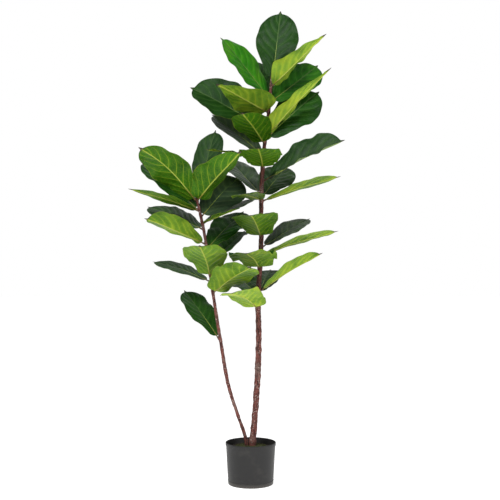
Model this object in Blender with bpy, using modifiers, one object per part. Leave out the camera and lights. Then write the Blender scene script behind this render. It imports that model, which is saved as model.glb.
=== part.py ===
"""Potted fiddle leaf fig, about 1.65 m tall: a plain pot, soil with a moss cover, two stems and their leaves.

Units are metres, +Z is up, and the origin is the middle of the pot's underside. +X points to the right
of the plant and +Y to its back.
"""

from dataclasses import dataclass
from math import cos, pi, radians, sin, sqrt

import bmesh
import bpy

# Pot, soil and moss
POT_HEIGHT = 0.145
POT_TOP_RADIUS = 0.0875
POT_BASE_RADIUS = 0.0785
POT_WALL = 0.0018
POT_FLOOR = 0.0025
RIM_BAND = 0.011
RIM_STEP = 0.0012
BEAD_HEIGHT = 0.014
SOIL_EDGE_HEIGHT = 0.125
SOIL_MOUND = 0.004
SOIL_GAP = 0.0008
MOSS_RADIUS = 0.055
MOSS_THICKNESS = 0.005
MOSS_EDGE = 0.0015
MOSS_SHOULDER = 0.6
LIP_ROUND = 0.0008
BEAD_RISE = 0.0008
FOOT_CHAMFER = 0.0035
TURNED_SIDES = 32
CLEARANCE = 0.0004
MERGE_DISTANCE = 0.00001

# Leaves
STALK_THICKNESS = 0.0044
BLADE_THINNESS = 0.3
MIDRIB_THICKNESS = 0.7
BLADE_BASE_SHARE = 0.34
FOOT_CURVE = 1.5
END_CURVE = 2.2
BLADE_STATIONS = (0.03, 0.11, 0.24, 0.38, 0.52, 0.66, 0.80, 0.92, 1.0)
STALK_STATIONS = (0.0, 0.5, 1.0)
COLUMNS = 4
TIP_HALF_WIDTH = 0.002
LEAST_DROOP = 1.0
FOLD_START_SHARE = 0.1
LEAF_GAP = 0.0012

# Stems: the points of each centre line, from the buried foot to the bud, as (x, y, z, radius)
MAIN_PATH = (
    (0.006, 0.000, 0.070, 0.0120),
    (0.006, 0.000, 0.128, 0.0120),
    (0.012, 0.000, 0.205, 0.0105),
    (0.024, 0.000, 0.370, 0.0105),
    (0.028, 0.000, 0.520, 0.0095),
    (0.026, 0.000, 0.640, 0.0090),
    (0.036, 0.000, 0.830, 0.0080),
    (0.037, 0.000, 0.990, 0.0075),
    (0.045, 0.000, 1.150, 0.0068),
    (0.061, 0.000, 1.280, 0.0060),
    (0.070, 0.000, 1.380, 0.0050),
    (0.073, 0.000, 1.430, 0.0020),
)
SIDE_PATH = (
    (-0.0140, 0.000, 0.070, 0.0065),
    (-0.0140, 0.000, 0.132, 0.0065),
    (-0.022, -0.005, 0.175, 0.0065),
    (-0.046, -0.015, 0.245, 0.0060),
    (-0.078, -0.025, 0.350, 0.0060),
    (-0.103, -0.035, 0.495, 0.0058),
    (-0.126, -0.042, 0.640, 0.0055),
    (-0.147, -0.046, 0.780, 0.0050),
    (-0.160, -0.048, 0.875, 0.0050),
    (-0.182, -0.049, 0.975, 0.0045),
    (-0.194, -0.050, 1.030, 0.0020),
)
SAMPLES_PER_SPAN = 3
STEM_BEVEL_RESOLUTION = 3
SHARP_EDGE_DEGREES = 50


@dataclass(frozen=True)
class Leaf:
    """One leaf with its stalk. Lengths are in metres and angles in degrees.

    height is where the stalk leaves the stem, heading is the way that it points (0 is +X, 90 is +Y),
    rise is its climb, droop is how far it arches over from stem to tip, roll turns it about its own
    length, fold is how far each half lifts from the midrib, and widest is where the blade is widest,
    as a share of its length.
    """

    stem: str
    height: float
    heading: float
    rise: float
    stalk: float
    length: float
    width: float
    droop: float
    roll: float
    fold: float
    widest: float = 0.60


# From the top of each stem down
LEAVES = (
    Leaf("main", 1.405, 56, 78, 0.025, 0.232, 0.150, 10, 24, 8),
    Leaf("main", 1.345, 192, 50, 0.020, 0.240, 0.130, 10, -50, 12, 0.45),
    Leaf("main", 1.352, 124, 54, 0.010, 0.160, 0.110, 15, 0, 10),
    Leaf("main", 1.385, 335, 39, 0.010, 0.245, 0.110, 8, -15, 30, 0.30),
    Leaf("main", 1.330, 33, 36, 0.025, 0.225, 0.140, 10, 45, 8),
    Leaf("main", 1.292, 222, 17, 0.010, 0.232, 0.130, 12, 25, 12, 0.34),
    Leaf("main", 1.243, 175, 28, 0.020, 0.276, 0.160, 10, -56, 28),
    Leaf("main", 1.215, 337, 43, 0.025, 0.290, 0.092, 8, -13, 30, 0.25),
    Leaf("main", 1.205, 20, 41, 0.015, 0.245, 0.155, 15, 50, 5),
    Leaf("main", 1.185, 246, 24, 0.015, 0.185, 0.132, 10, 10, 15),
    Leaf("main", 1.145, 150, 37, 0.025, 0.230, 0.115, 10, -28, 22),
    Leaf("main", 1.125, 214, 6, 0.025, 0.205, 0.070, 10, -5, 10),
    Leaf("main", 1.100, 265, 13, 0.015, 0.190, 0.145, 15, 0, 8),
    Leaf("main", 1.055, 352, 26, 0.035, 0.275, 0.150, 10, 35, 35),
    Leaf("main", 1.010, 130, 36, 0.030, 0.205, 0.145, 10, 0, 10),
    Leaf("main", 1.000, 60, 34, 0.030, 0.180, 0.130, 10, 20, 10),
    Leaf("main", 0.985, 353, 17, 0.020, 0.258, 0.105, 10, -11, 12),
    Leaf("main", 0.985, 247, 3, 0.020, 0.165, 0.110, 20, 5, 5),
    Leaf("main", 0.862, 260, 17, 0.010, 0.210, 0.155, 20, 3, 18),
    Leaf("main", 0.825, 35, 26, 0.025, 0.205, 0.110, 10, 12, 15),
    Leaf("main", 0.797, 346, 17, 0.020, 0.255, 0.105, 10, -10, 12),
    Leaf("main", 0.752, 256, 15, 0.015, 0.180, 0.165, 15, 3, 15, 0.55),
    Leaf("main", 0.675, 350, 31, 0.020, 0.228, 0.085, 10, -20, 28),
    Leaf("main", 0.665, 75, 25, 0.020, 0.160, 0.115, 10, 0, 10),
    Leaf("main", 0.660, 114, 16, 0.020, 0.195, 0.135, 10, -10, 10),
    Leaf("main", 0.612, 240, 18, 0.015, 0.172, 0.140, 35, 10, 15),
    Leaf("side", 0.990, 58, 66, 0.020, 0.250, 0.112, 10, 4, 10, 0.66),
    Leaf("side", 0.985, 205, 40, 0.015, 0.255, 0.148, 38, 33, 8, 0.52),
    Leaf("side", 0.952, 154, 37, 0.020, 0.265, 0.125, 15, -20, 10),
    Leaf("side", 0.985, 314, 35, 0.010, 0.252, 0.145, 5, -18, 42, 0.36),
    Leaf("side", 0.930, 48, 38, 0.020, 0.215, 0.150, 10, 35, 5),
    Leaf("side", 0.948, 190, 17, 0.015, 0.232, 0.100, 10, 12, 8, 0.42),
    Leaf("side", 0.905, 37, 22, 0.020, 0.225, 0.110, 10, 0, 10),
    Leaf("side", 0.906, 322, 16, 0.008, 0.158, 0.085, 10, 12, 10, 0.50),
    Leaf("side", 0.885, 153, 20, 0.020, 0.215, 0.140, 10, -15, 10),
    Leaf("side", 0.820, 51, 34, 0.020, 0.215, 0.140, 10, 10, 10),
    Leaf("side", 0.835, 205, 21, 0.020, 0.210, 0.105, 10, 32, 34),
    Leaf("side", 0.765, 50, 32, 0.020, 0.200, 0.115, 10, 0, 20),
    Leaf("side", 0.727, 263, 26, 0.010, 0.220, 0.150, 15, 0, 18),
    Leaf("side", 0.705, 153, 16, 0.030, 0.210, 0.095, 15, -12, 10),
    Leaf("side", 0.668, 305, 22, 0.020, 0.220, 0.145, 15, -17, 18),
    Leaf("side", 0.507, 137, 43, 0.030, 0.208, 0.115, 10, -10, 12),
)


def clear_scene():
    for old in list(bpy.data.objects):
        bpy.data.objects.remove(old, do_unlink=True)


def new_collection(name):
    collection = bpy.data.collections.new(name)
    bpy.context.scene.collection.children.link(collection)
    return collection


def make_material(name, colour, roughness, metallic=0.0):
    material = bpy.data.materials.new(name)
    material.use_nodes = True
    shader = material.node_tree.nodes["Principled BSDF"]
    shader.inputs["Base Color"].default_value = (*colour, 1.0)
    shader.inputs["Roughness"].default_value = roughness
    shader.inputs["Metallic"].default_value = metallic
    return material


def add_object(name, data, collection, material):
    made = bpy.data.objects.new(name, data)
    collection.objects.link(made)
    if material:
        data.materials.append(material)
    return made


def catmull_rom(before, start, end, after, t):
    """The value at t, from 0 at start to 1 at end, on the cubic through the four values."""
    slope = end - before
    bow = 2 * before - 5 * start + 4 * end - after
    swing = 3 * start - before - 3 * end + after
    return 0.5 * (2 * start + slope * t + bow * t**2 + swing * t**3)


def smooth_path(points):
    """Points along a Catmull-Rom curve through the given ones, in the same order."""
    found = []
    last = len(points) - 1
    for i in range(last):
        around = zip(points[max(i - 1, 0)], points[i], points[i + 1], points[min(i + 2, last)])
        values = list(around)
        for step in range(SAMPLES_PER_SPAN):
            found.append(tuple(catmull_rom(*four, step / SAMPLES_PER_SPAN) for four in values))
    found.append(points[last])
    return found


def stem_at(path, height):
    """(x, y, radius) of a stem's centre line at a height."""
    for low, high in zip(path, path[1:]):
        if high[2] >= height:
            share = (height - low[2]) / (high[2] - low[2])
            return tuple(low[i] + share * (high[i] - low[i]) for i in (0, 1, 3))
    return path[-1][0], path[-1][1], path[-1][3]


def make_stem(name, path, collection, material, grow=0.0):
    """A tapering round stem as a closed mesh. grow thickens it all over, for a cutter."""
    curve = bpy.data.curves.new(name, "CURVE")
    curve.dimensions = "3D"
    curve.bevel_depth = 1.0
    curve.bevel_resolution = STEM_BEVEL_RESOLUTION
    curve.use_fill_caps = True
    spline = curve.splines.new("POLY")
    spline.points.add(len(path) - 1)
    for point, (x, y, z, radius) in zip(spline.points, path):
        point.co = (x, y, z, 1.0)
        point.radius = radius + grow
    spline.points[0].co.z -= grow
    guide = bpy.data.objects.new(name + "_guide", curve)
    collection.objects.link(guide)
    bpy.context.view_layer.update()
    mesh = bpy.data.meshes.new_from_object(guide.evaluated_get(bpy.context.evaluated_depsgraph_get()))
    bpy.data.objects.remove(guide, do_unlink=True)
    shape = bmesh.new()
    shape.from_mesh(mesh)
    bmesh.ops.remove_doubles(shape, verts=shape.verts, dist=MERGE_DISTANCE)
    bmesh.ops.recalc_face_normals(shape, faces=shape.faces)
    shape.to_mesh(mesh)
    shape.free()
    mesh.shade_smooth()
    mesh.set_sharp_from_angle(angle=radians(SHARP_EDGE_DEGREES))
    return add_object(name, mesh, collection, material)


def make_turned(name, profile, collection, material):
    """Turns (radius, height) points round the Z axis. The profile runs down its outer side."""
    mesh = bpy.data.meshes.new(name)
    shape = bmesh.new()
    points = [shape.verts.new((radius, 0.0, height)) for radius, height in profile]
    for start, end in zip(points, points[1:]):
        shape.edges.new((start, end))
    shape.to_mesh(mesh)
    shape.free()
    made = add_object(name, mesh, collection, material)
    screw = made.modifiers.new("Turn", "SCREW")
    screw.axis = "Z"
    screw.angle = 2 * pi
    screw.steps = TURNED_SIDES
    screw.render_steps = TURNED_SIDES
    screw.use_merge_vertices = True
    screw.merge_threshold = MERGE_DISTANCE
    screw.use_smooth_shade = True
    return made


def wall_radius(height):
    """The pot's outer radius, below the rim band."""
    return POT_BASE_RADIUS + (POT_TOP_RADIUS - RIM_STEP - POT_BASE_RADIUS) * height / POT_HEIGHT


def make_pot(collection, material):
    band_foot = POT_HEIGHT - RIM_BAND
    inner_top = POT_TOP_RADIUS - RIM_STEP - POT_WALL
    profile = (
        (0.0, POT_FLOOR),
        (wall_radius(POT_FLOOR) - POT_WALL, POT_FLOOR),
        (inner_top, POT_HEIGHT - LIP_ROUND),
        (inner_top + LIP_ROUND, POT_HEIGHT),
        (POT_TOP_RADIUS - LIP_ROUND, POT_HEIGHT),
        (POT_TOP_RADIUS, POT_HEIGHT - LIP_ROUND),
        (POT_TOP_RADIUS, band_foot),
        (wall_radius(band_foot), band_foot - RIM_STEP),
        (wall_radius(BEAD_HEIGHT), BEAD_HEIGHT + BEAD_RISE),
        (wall_radius(BEAD_HEIGHT) + BEAD_RISE, BEAD_HEIGHT),
        (POT_BASE_RADIUS, FOOT_CHAMFER),
        (POT_BASE_RADIUS - FOOT_CHAMFER, 0.0),
        (0.0, 0.0),
    )
    return make_turned("pot", profile, collection, material)


def soil_top(radius):
    return SOIL_EDGE_HEIGHT + SOIL_MOUND * (1 - (radius / POT_BASE_RADIUS) ** 2)


def cut(target, cutters):
    for cutter in cutters:
        boolean = target.modifiers.new("Cut_" + cutter.name, "BOOLEAN")
        boolean.operation = "DIFFERENCE"
        boolean.object = cutter


def make_soil(collection, material, cutters):
    foot = POT_FLOOR + CLEARANCE
    edge = wall_radius(SOIL_EDGE_HEIGHT) - POT_WALL - SOIL_GAP
    profile = (
        (0.0, soil_top(0.0)),
        (0.5 * MOSS_RADIUS, soil_top(0.5 * MOSS_RADIUS)),
        (MOSS_RADIUS, soil_top(MOSS_RADIUS)),
        (edge, soil_top(edge)),
        (wall_radius(foot) - POT_WALL - SOIL_GAP, foot),
        (0.0, foot),
    )
    soil = make_turned("soil", profile, collection, material)
    cut(soil, cutters)
    return soil


def make_moss(collection, material, cutters):
    """A low cover over the middle of the soil, round both stems."""
    shoulder = MOSS_SHOULDER * MOSS_RADIUS
    profile = (
        (0.0, soil_top(0.0) + MOSS_THICKNESS),
        (shoulder, soil_top(shoulder) + MOSS_THICKNESS),
        (MOSS_RADIUS, soil_top(MOSS_RADIUS) + MOSS_EDGE),
        (MOSS_RADIUS - MOSS_EDGE / 2, soil_top(MOSS_RADIUS) + CLEARANCE),
        (shoulder, soil_top(shoulder) + CLEARANCE),
        (0.0, soil_top(0.0) + CLEARANCE),
    )
    moss = make_turned("moss", profile, collection, material)
    cut(moss, cutters)
    return moss


def blade_share(t, widest):
    """Half width of the blade at t (0 at its foot, 1 at its tip), as a share of the widest."""
    if t < widest:
        return BLADE_BASE_SHARE + (1 - BLADE_BASE_SHARE) * sin(pi / 2 * t / widest) ** FOOT_CURVE
    return sqrt(max(0.0, 1 - ((t - widest) / (1 - widest)) ** END_CURVE))


def leaf_rows(leaf):
    """(distance from the stem, half width, thickness share at the middle, at the edge) for each row."""
    rows = [(share * leaf.stalk, STALK_THICKNESS / 2, 1.0, 1.0) for share in STALK_STATIONS]
    for t in BLADE_STATIONS:
        half = max(TIP_HALF_WIDTH, leaf.width / 2 * blade_share(t, leaf.widest))
        middle = MIDRIB_THICKNESS + (BLADE_THINNESS - MIDRIB_THICKNESS) * t
        rows.append((leaf.stalk + t * leaf.length, half, middle, BLADE_THINNESS))
    return rows


def leaf_point(leaf, distance, offset):
    """A point of the leaf's middle surface: x along it, y across and z up from it."""
    total = leaf.stalk + leaf.length
    bend = radians(max(leaf.droop, LEAST_DROOP))
    start, slope = bend / 2, bend / 2 - bend * distance / total
    x = (sin(start) - sin(slope)) * total / bend
    z = (cos(slope) - cos(start)) * total / bend
    blade = min(1.0, max(0.0, (distance - leaf.stalk) / (FOLD_START_SHARE * leaf.length)))
    fold = radians(leaf.fold) * blade
    lift = abs(offset) * sin(fold)
    return x - sin(slope) * lift, offset * cos(fold), z + cos(slope) * lift


def make_leaf(name, leaf, path, collection, material):
    rows = leaf_rows(leaf)
    shape = bmesh.new()
    bmesh.ops.create_grid(shape, x_segments=COLUMNS, y_segments=len(rows) - 1, size=1.0)
    weights = []
    for vertex in shape.verts:
        column = round((vertex.co.x + 1) / 2 * COLUMNS)
        row = round((vertex.co.y + 1) / 2 * (len(rows) - 1))
        distance, half, middle, edge = rows[row]
        across = 1 - 2 * column / COLUMNS
        vertex.co = leaf_point(leaf, distance, half * across)
        weights.append(middle if column == COLUMNS // 2 else edge)
    bmesh.ops.recalc_face_normals(shape, faces=shape.faces)
    mesh = bpy.data.meshes.new(name)
    shape.to_mesh(mesh)
    shape.free()
    mesh.shade_smooth()
    made = add_object(name, mesh, collection, material)
    thickness = made.vertex_groups.new(name="thickness")
    for index, weight in enumerate(weights):
        thickness.add([index], weight, "REPLACE")
    shell = made.modifiers.new("Thickness", "SOLIDIFY")
    shell.thickness = STALK_THICKNESS
    shell.offset = 0.0
    shell.vertex_group = "thickness"
    x, y, radius = stem_at(path, leaf.height)
    heading, rise = radians(leaf.heading), radians(leaf.rise + leaf.droop / 2)
    reach = radius + STALK_THICKNESS / 2 * abs(sin(rise)) + LEAF_GAP
    made.location = (x + reach * cos(heading), y + reach * sin(heading), leaf.height)
    made.rotation_euler = (radians(leaf.roll), -radians(leaf.rise), heading)
    return made


def main():
    clear_scene()
    plant = new_collection("potted_fiddle_leaf_fig")
    cutters = new_collection("cutters")
    pot_black = make_material("pot_charcoal", (0.055, 0.055, 0.055), 0.5)
    earth = make_material("soil_dark", (0.03, 0.02, 0.012), 0.95)
    moss_green = make_material("moss_green", (0.07, 0.09, 0.02), 0.9)
    bark = make_material("bark_red_brown", (0.16, 0.06, 0.05), 0.7)
    leaf_green = make_material("leaf_green", (0.07, 0.2, 0.03), 0.4)
    paths = {"main": smooth_path(MAIN_PATH), "side": smooth_path(SIDE_PATH)}
    holes = []
    for name, path in paths.items():
        make_stem(name + "_stem", path, plant, bark)
        hole = make_stem(name + "_stem_hole", path, cutters, None, grow=CLEARANCE)
        hole.hide_render = True
        hole.display_type = "WIRE"
        holes.append(hole)
    make_pot(plant, pot_black)
    make_soil(plant, earth, holes)
    make_moss(plant, moss_green, holes)
    counts = dict.fromkeys(paths, 0)
    for leaf in LEAVES:
        counts[leaf.stem] += 1
        name = f"leaf_{leaf.stem}_{counts[leaf.stem]:02d}"
        make_leaf(name, leaf, paths[leaf.stem], plant, leaf_green)


main()
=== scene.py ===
"""Potted fiddle leaf fig: the finished leaves, stems, soil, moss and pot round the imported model.

Units are metres, +Z is up, +X points to the plant's right and +Y to its back.
"""

import logging
from dataclasses import dataclass, field
from enum import Enum
from math import cos, pi, radians, sin, tau

import bpy
import numpy as np
from mathutils import Euler, Matrix, Vector, noise


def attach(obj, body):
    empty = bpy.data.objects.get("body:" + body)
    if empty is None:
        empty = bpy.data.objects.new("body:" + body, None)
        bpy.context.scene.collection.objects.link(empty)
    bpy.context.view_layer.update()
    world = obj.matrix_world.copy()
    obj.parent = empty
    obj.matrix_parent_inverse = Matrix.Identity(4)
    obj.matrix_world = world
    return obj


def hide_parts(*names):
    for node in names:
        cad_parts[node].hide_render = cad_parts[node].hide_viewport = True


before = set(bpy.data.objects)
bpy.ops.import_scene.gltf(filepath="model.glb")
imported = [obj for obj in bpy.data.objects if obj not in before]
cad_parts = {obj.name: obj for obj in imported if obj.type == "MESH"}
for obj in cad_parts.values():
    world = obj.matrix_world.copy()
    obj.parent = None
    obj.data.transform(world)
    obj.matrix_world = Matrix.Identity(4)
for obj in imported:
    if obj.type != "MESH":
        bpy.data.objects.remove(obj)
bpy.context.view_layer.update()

BODY = "root"
PLACE = "blade_place"
TONE_AND_SHEEN = "blade_tone"
ALONG = "stalk_along"

Colour = tuple[float, float, float]
Setting = str | float | bool | list


def ease(value: np.ndarray | float, low: float, high: float) -> np.ndarray | float:
    """Rises smoothly from 0 at low to 1 at high.

    Args:
        value: The number or numbers to ease.
        low: Where the rise starts.
        high: Where the rise ends. It may be below low, and then the result falls.

    Returns:
        The eased share, in the shape of value.
    """
    share = np.clip((value - low) / (high - low), 0.0, 1.0)
    return share * share * (3.0 - 2.0 * share)


# ---------------------------------------------------------------------------------------------------------
# Shader maths
# ---------------------------------------------------------------------------------------------------------


class Wire:
    """One value in a material. Arithmetic on it adds Math nodes."""

    def __init__(self, page: "Page", socket: bpy.types.NodeSocket) -> None:
        """Keeps the material's page and the output socket that the value comes from."""
        self.page = page
        self.socket = socket

    def maths(self, operation: str, *values: "Wire | float") -> "Wire":
        """Adds one Math node.

        Args:
            operation: Blender's name of the operation.
            values: The node's inputs in order.

        Returns:
            The node's result.
        """
        return self.page.node("ShaderNodeMath", {"operation": operation}, dict(enumerate(values)))

    def __add__(self, other: "Wire | float") -> "Wire":
        """This value plus the other."""
        return self.maths("ADD", self, other)

    def __radd__(self, other: float) -> "Wire":
        """The other value plus this."""
        return self.maths("ADD", other, self)

    def __sub__(self, other: "Wire | float") -> "Wire":
        """This value less the other."""
        return self.maths("SUBTRACT", self, other)

    def __rsub__(self, other: float) -> "Wire":
        """The other value less this."""
        return self.maths("SUBTRACT", other, self)

    def __mul__(self, other: "Wire | float") -> "Wire":
        """This value times the other."""
        return self.maths("MULTIPLY", self, other)

    def __rmul__(self, other: float) -> "Wire":
        """The other value times this."""
        return self.maths("MULTIPLY", other, self)

    def __truediv__(self, other: "Wire | float") -> "Wire":
        """This value over the other."""
        return self.maths("DIVIDE", self, other)

    def __pow__(self, other: float) -> "Wire":
        """This value to the other's power."""
        return self.maths("POWER", self, other)

    def __abs__(self) -> "Wire":
        """This value without its sign."""
        return self.maths("ABSOLUTE", self)

    def fraction(self) -> "Wire":
        """What is left of this value above a whole number."""
        return self.maths("FRACT", self)

    def above(self, limit: float) -> "Wire":
        """1 where this value is over the limit, or else 0."""
        return self.maths("GREATER_THAN", self, limit)

    def ease(self, low: float, high: float) -> "Wire":
        """Rises smoothly from 0 at low to 1 at high, or falls where high is the lower one.

        Args:
            low: Where the change starts.
            high: Where the change ends.

        Returns:
            The eased share.
        """
        settings = {"interpolation_type": "SMOOTHSTEP"}
        if high > low:
            return self.page.node("ShaderNodeMapRange", settings, {"Value": self, "From Min": low, "From Max": high})
        return 1.0 - self.ease(high, low)


class Page:
    """The nodes of one material."""

    def __init__(self, name: str) -> None:
        """Starts a material of this name with an empty Principled BSDF."""
        self.material = bpy.data.materials.new(name)
        self.material.use_nodes = True
        self.tree = self.material.node_tree
        self.shader = self.tree.nodes["Principled BSDF"]

    def node(self, kind: str, settings: dict[str, Setting], values: dict, output: int | str = 0) -> Wire:
        """Adds any node.

        Args:
            kind: The node's Blender type.
            settings: Its own properties, set before its sockets. "stops" gives a ramp's (place, colour) pairs.
            values: Constants or wires for its input sockets, by name or index.
            output: The output socket to hand back, by name or index.

        Returns:
            The chosen output.
        """
        made = self.tree.nodes.new(kind)
        for name, setting in settings.items():
            if name == "stops":
                self.set_stops(made.color_ramp, setting)
            else:
                setattr(made, name, setting)
        for name, value in values.items():
            self.feed(made.inputs[name], value)
        return Wire(self, made.outputs[output])

    def feed(self, socket: bpy.types.NodeSocket, value: "Wire | float | tuple") -> None:
        """Links a wire to a socket, or sets the socket's constant.

        Args:
            socket: The input socket.
            value: A wire, a number, or a colour or vector.
        """
        if isinstance(value, Wire):
            self.tree.links.new(value.socket, socket)
        elif socket.type == "RGBA":
            socket.default_value = (*value, 1.0)
        else:
            socket.default_value = value

    @staticmethod
    def set_stops(ramp: bpy.types.ColorRamp, stops: list[tuple[float, Colour]]) -> None:
        """Gives a colour ramp its stops.

        Args:
            ramp: The ramp of a new Color Ramp node, which has two stops.
            stops: Two or more (place, colour) pairs.
        """
        while len(ramp.elements) < len(stops):
            ramp.elements.new(1.0)
        for element, (place, colour) in zip(ramp.elements, stops):
            element.position = place
            element.color = (*colour, 1.0)

    def mix(self, low: "Wire | Colour", high: "Wire | Colour", share: "Wire | float", how: str = "MIX") -> Wire:
        """Mixes two colours.

        Args:
            low: The colour at share 0.
            high: The colour at share 1.
            share: How much of high there is.
            how: Blender's blend type.

        Returns:
            The mixed colour.
        """
        return self.node("ShaderNodeMix", {"data_type": "RGBA", "blend_type": how}, {0: share, 6: low, 7: high}, 2)

    def parts(self, vector: Wire) -> tuple[Wire, Wire, Wire]:
        """The three numbers of a vector."""
        split = self.node("ShaderNodeSeparateXYZ", {}, {0: vector})
        outputs = split.socket.node.outputs
        return Wire(self, outputs[0]), Wire(self, outputs[1]), Wire(self, outputs[2])

    def stored(self, name: str) -> Wire:
        """The vector stored on the mesh under this name."""
        return self.node("ShaderNodeAttribute", {"attribute_name": name}, {}, "Vector")

    def place(self, stretch: tuple[float, float, float] = (1.0, 1.0, 1.0)) -> Wire:
        """The point's place on the object, stretched along each axis."""
        point = self.node("ShaderNodeTexCoord", {}, {}, "Object")
        return self.node("ShaderNodeVectorMath", {"operation": "MULTIPLY"}, {0: point, 1: stretch})

    def cloud(self, vector: Wire, scale: float, detail: float = 3.0, roughness: float = 0.55) -> Wire:
        """Soft noise from 0 to 1.

        Args:
            vector: Where to read it.
            scale: How many features there are in a metre.
            detail: How many finer layers it has.
            roughness: How strong the finer layers are.

        Returns:
            The noise value.
        """
        values = {"Vector": vector, "Scale": scale, "Detail": detail, "Roughness": roughness}
        return self.node("ShaderNodeTexNoise", {}, values)

    def cells(self, vector: Wire, scale: float, feature: str = "DISTANCE_TO_EDGE") -> Wire:
        """A cell pattern: the distance to the nearest cell edge or middle.

        Args:
            vector: Where to read it.
            scale: How many cells there are in a metre.
            feature: Blender's name of what is measured.

        Returns:
            The distance, as a share of a cell.
        """
        return self.node("ShaderNodeTexVoronoi", {"feature": feature}, {"Vector": vector, "Scale": scale}, "Distance")

    def finish(self, values: dict, height: Wire | None = None, depth: float = 0.0005) -> bpy.types.Material:
        """Connects the Principled BSDF.

        Args:
            values: Constants or wires for its sockets by name.
            height: The surface's relief from 0 to 1, if it has one.
            depth: How deep the relief is, in metres.

        Returns:
            The material.
        """
        for name, value in values.items():
            self.feed(self.shader.inputs[name], value)
        if height is not None:
            relief = {"Height": height, "Strength": 1.0, "Distance": depth}
            self.feed(self.shader.inputs["Normal"], self.node("ShaderNodeBump", {}, relief))
        return self.material


# ---------------------------------------------------------------------------------------------------------
# Finishes
# ---------------------------------------------------------------------------------------------------------


@dataclass(frozen=True)
class Veins:
    """How the side veins run: a side vein leaves the midrib and bends towards the tip."""

    spacing: float = 0.142
    slant: float = 0.20
    bend: float = 0.13
    stagger: float = 0.45
    wander: float = 0.05

    def count(self, t: np.ndarray, s: np.ndarray) -> np.ndarray:
        """The running number of the side vein at each point, whole on a vein.

        Args:
            t: Place along the blade, 0 at its foot and 1 at its tip.
            s: Place across it, -1 at the right margin and 1 at the left.

        Returns:
            The running number.
        """
        out = np.abs(s)
        straight = (t - self.slant * out - self.bend * out**2) / self.spacing + self.stagger * (s > 0)
        return straight + self.wander * np.sin(4.0 * out + 11.0 * t)

    def count_in(self, t: Wire, s: Wire) -> Wire:
        """The same running number in a material."""
        out = abs(s)
        straight = (t - self.slant * out - self.bend * out * out) / self.spacing + self.stagger * s.above(0.0)
        return straight + self.wander * t.maths("SINE", 4.0 * out + 11.0 * t)


VEINS = Veins()


class Face(Enum):
    """The two faces of a blade, by the part of its stored tone that each one reads."""

    UPPER = 0
    UNDER = 1


@dataclass(frozen=True)
class BladeFinish:
    """One face of a leaf's blade."""

    name: str
    face: Face
    deep: Colour
    bright: Colour
    vein: Colour
    # The grey of the painted sheen, standing for the soft whitish sheen on glossy leaves.
    painted_sheen_grey: Colour
    vein_strength: float
    midrib_strength: float
    net_strength: float
    # How strong the painted highlight is: lighter bands along the side veins.
    painted_highlight_strength: float
    roughness: float
    gloss: float
    tip_start: float
    coat: float
    relief: float
    warm: Colour
    warmth: float
    tip: Colour = (0.055, 0.040, 0.030)
    spot: Colour = (0.050, 0.045, 0.015)

    def material(self) -> bpy.types.Material:
        """Makes the material of this face."""
        page = Page(self.name)
        t, s, half_width = page.parts(page.stored(PLACE))
        tones_and_sheen = page.parts(page.stored(TONE_AND_SHEEN))
        out = abs(s)
        point = page.place()
        vein_gap = abs(VEINS.count_in(t, s).fraction() - 0.5) * -2.0 + 1.0
        midrib = (out * half_width).ease(0.0034, 0.0010)
        fade = out.ease(1.02, 0.70) * t.ease(0.0, 0.05)
        side_vein = (vein_gap * (0.75 + 0.6 * out)).ease(0.085, 0.025) * fade
        net = page.cells(point, 78.0).ease(0.075, 0.015)
        fine_net = page.cells(point, 240.0).ease(0.10, 0.02)
        patches = page.cloud(point, 14.0, 3.0)
        grain = page.cloud(point, 420.0, 2.0)
        base = page.mix(self.deep, self.bright, tones_and_sheen[self.face.value])
        # Painted sheen: each leaf's grey share greys the colour, standing for the soft whitish sheen of a glossy
        # leaf.
        base = page.mix(base, self.painted_sheen_grey, tones_and_sheen[2])
        base = page.mix(base, self.warm, patches.ease(0.40, 0.70) * tones_and_sheen[self.face.value] * self.warmth)
        # Painted highlight: lighter bands along the side veins, strongest towards the midrib, stand for light caught
        # on the leaf's pleats.
        glow = vein_gap.ease(0.85, 0.0) * self.painted_highlight_strength * out.ease(1.0, 0.4)
        tone_and_highlight_lift = patches * 0.7 + glow + grain * 0.18
        # The random tone patches and grain, together with the painted highlight bands, lighten the colour here.
        base = page.mix(base, page.mix(base, (2.0, 1.6, 1.5), 1.0, "MULTIPLY"), tone_and_highlight_lift.ease(0.25, 1.25))
        base = page.mix(base, page.mix(base, (0.55, 0.62, 0.6), 1.0, "MULTIPLY"), patches.ease(0.52, 0.25))
        base = page.mix(base, self.vein, net * self.net_strength + fine_net * self.net_strength * 0.4)
        lines = side_vein * self.vein_strength
        base = page.mix(base, self.vein, lines)
        base = page.mix(base, self.vein, midrib * self.midrib_strength)
        base = page.mix(base, self.vein, out.ease(0.955, 0.995) * 0.35)
        spots = page.cells(point, 55.0, "F1").ease(0.12, 0.05) * patches.ease(0.5, 0.62)
        base = page.mix(base, self.spot, spots * 0.35)
        base = page.mix(base, self.tip, t.ease(self.tip_start, self.tip_start + 0.04))
        rough = self.roughness + (patches - 0.5) * 0.22 + grain * 0.06 + lines * 0.12
        height = 0.5 + (side_vein + midrib) * self.relief + net * self.relief * 0.45
        height = height + fine_net * self.relief * 0.2 + grain * 0.16 + patches * 0.2
        values = {"Base Color": base, "Roughness": rough, "Coat Weight": self.coat, "Coat Roughness": 0.22}
        values["Specular IOR Level"] = self.gloss
        return page.finish(values, height, 0.0008)


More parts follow.
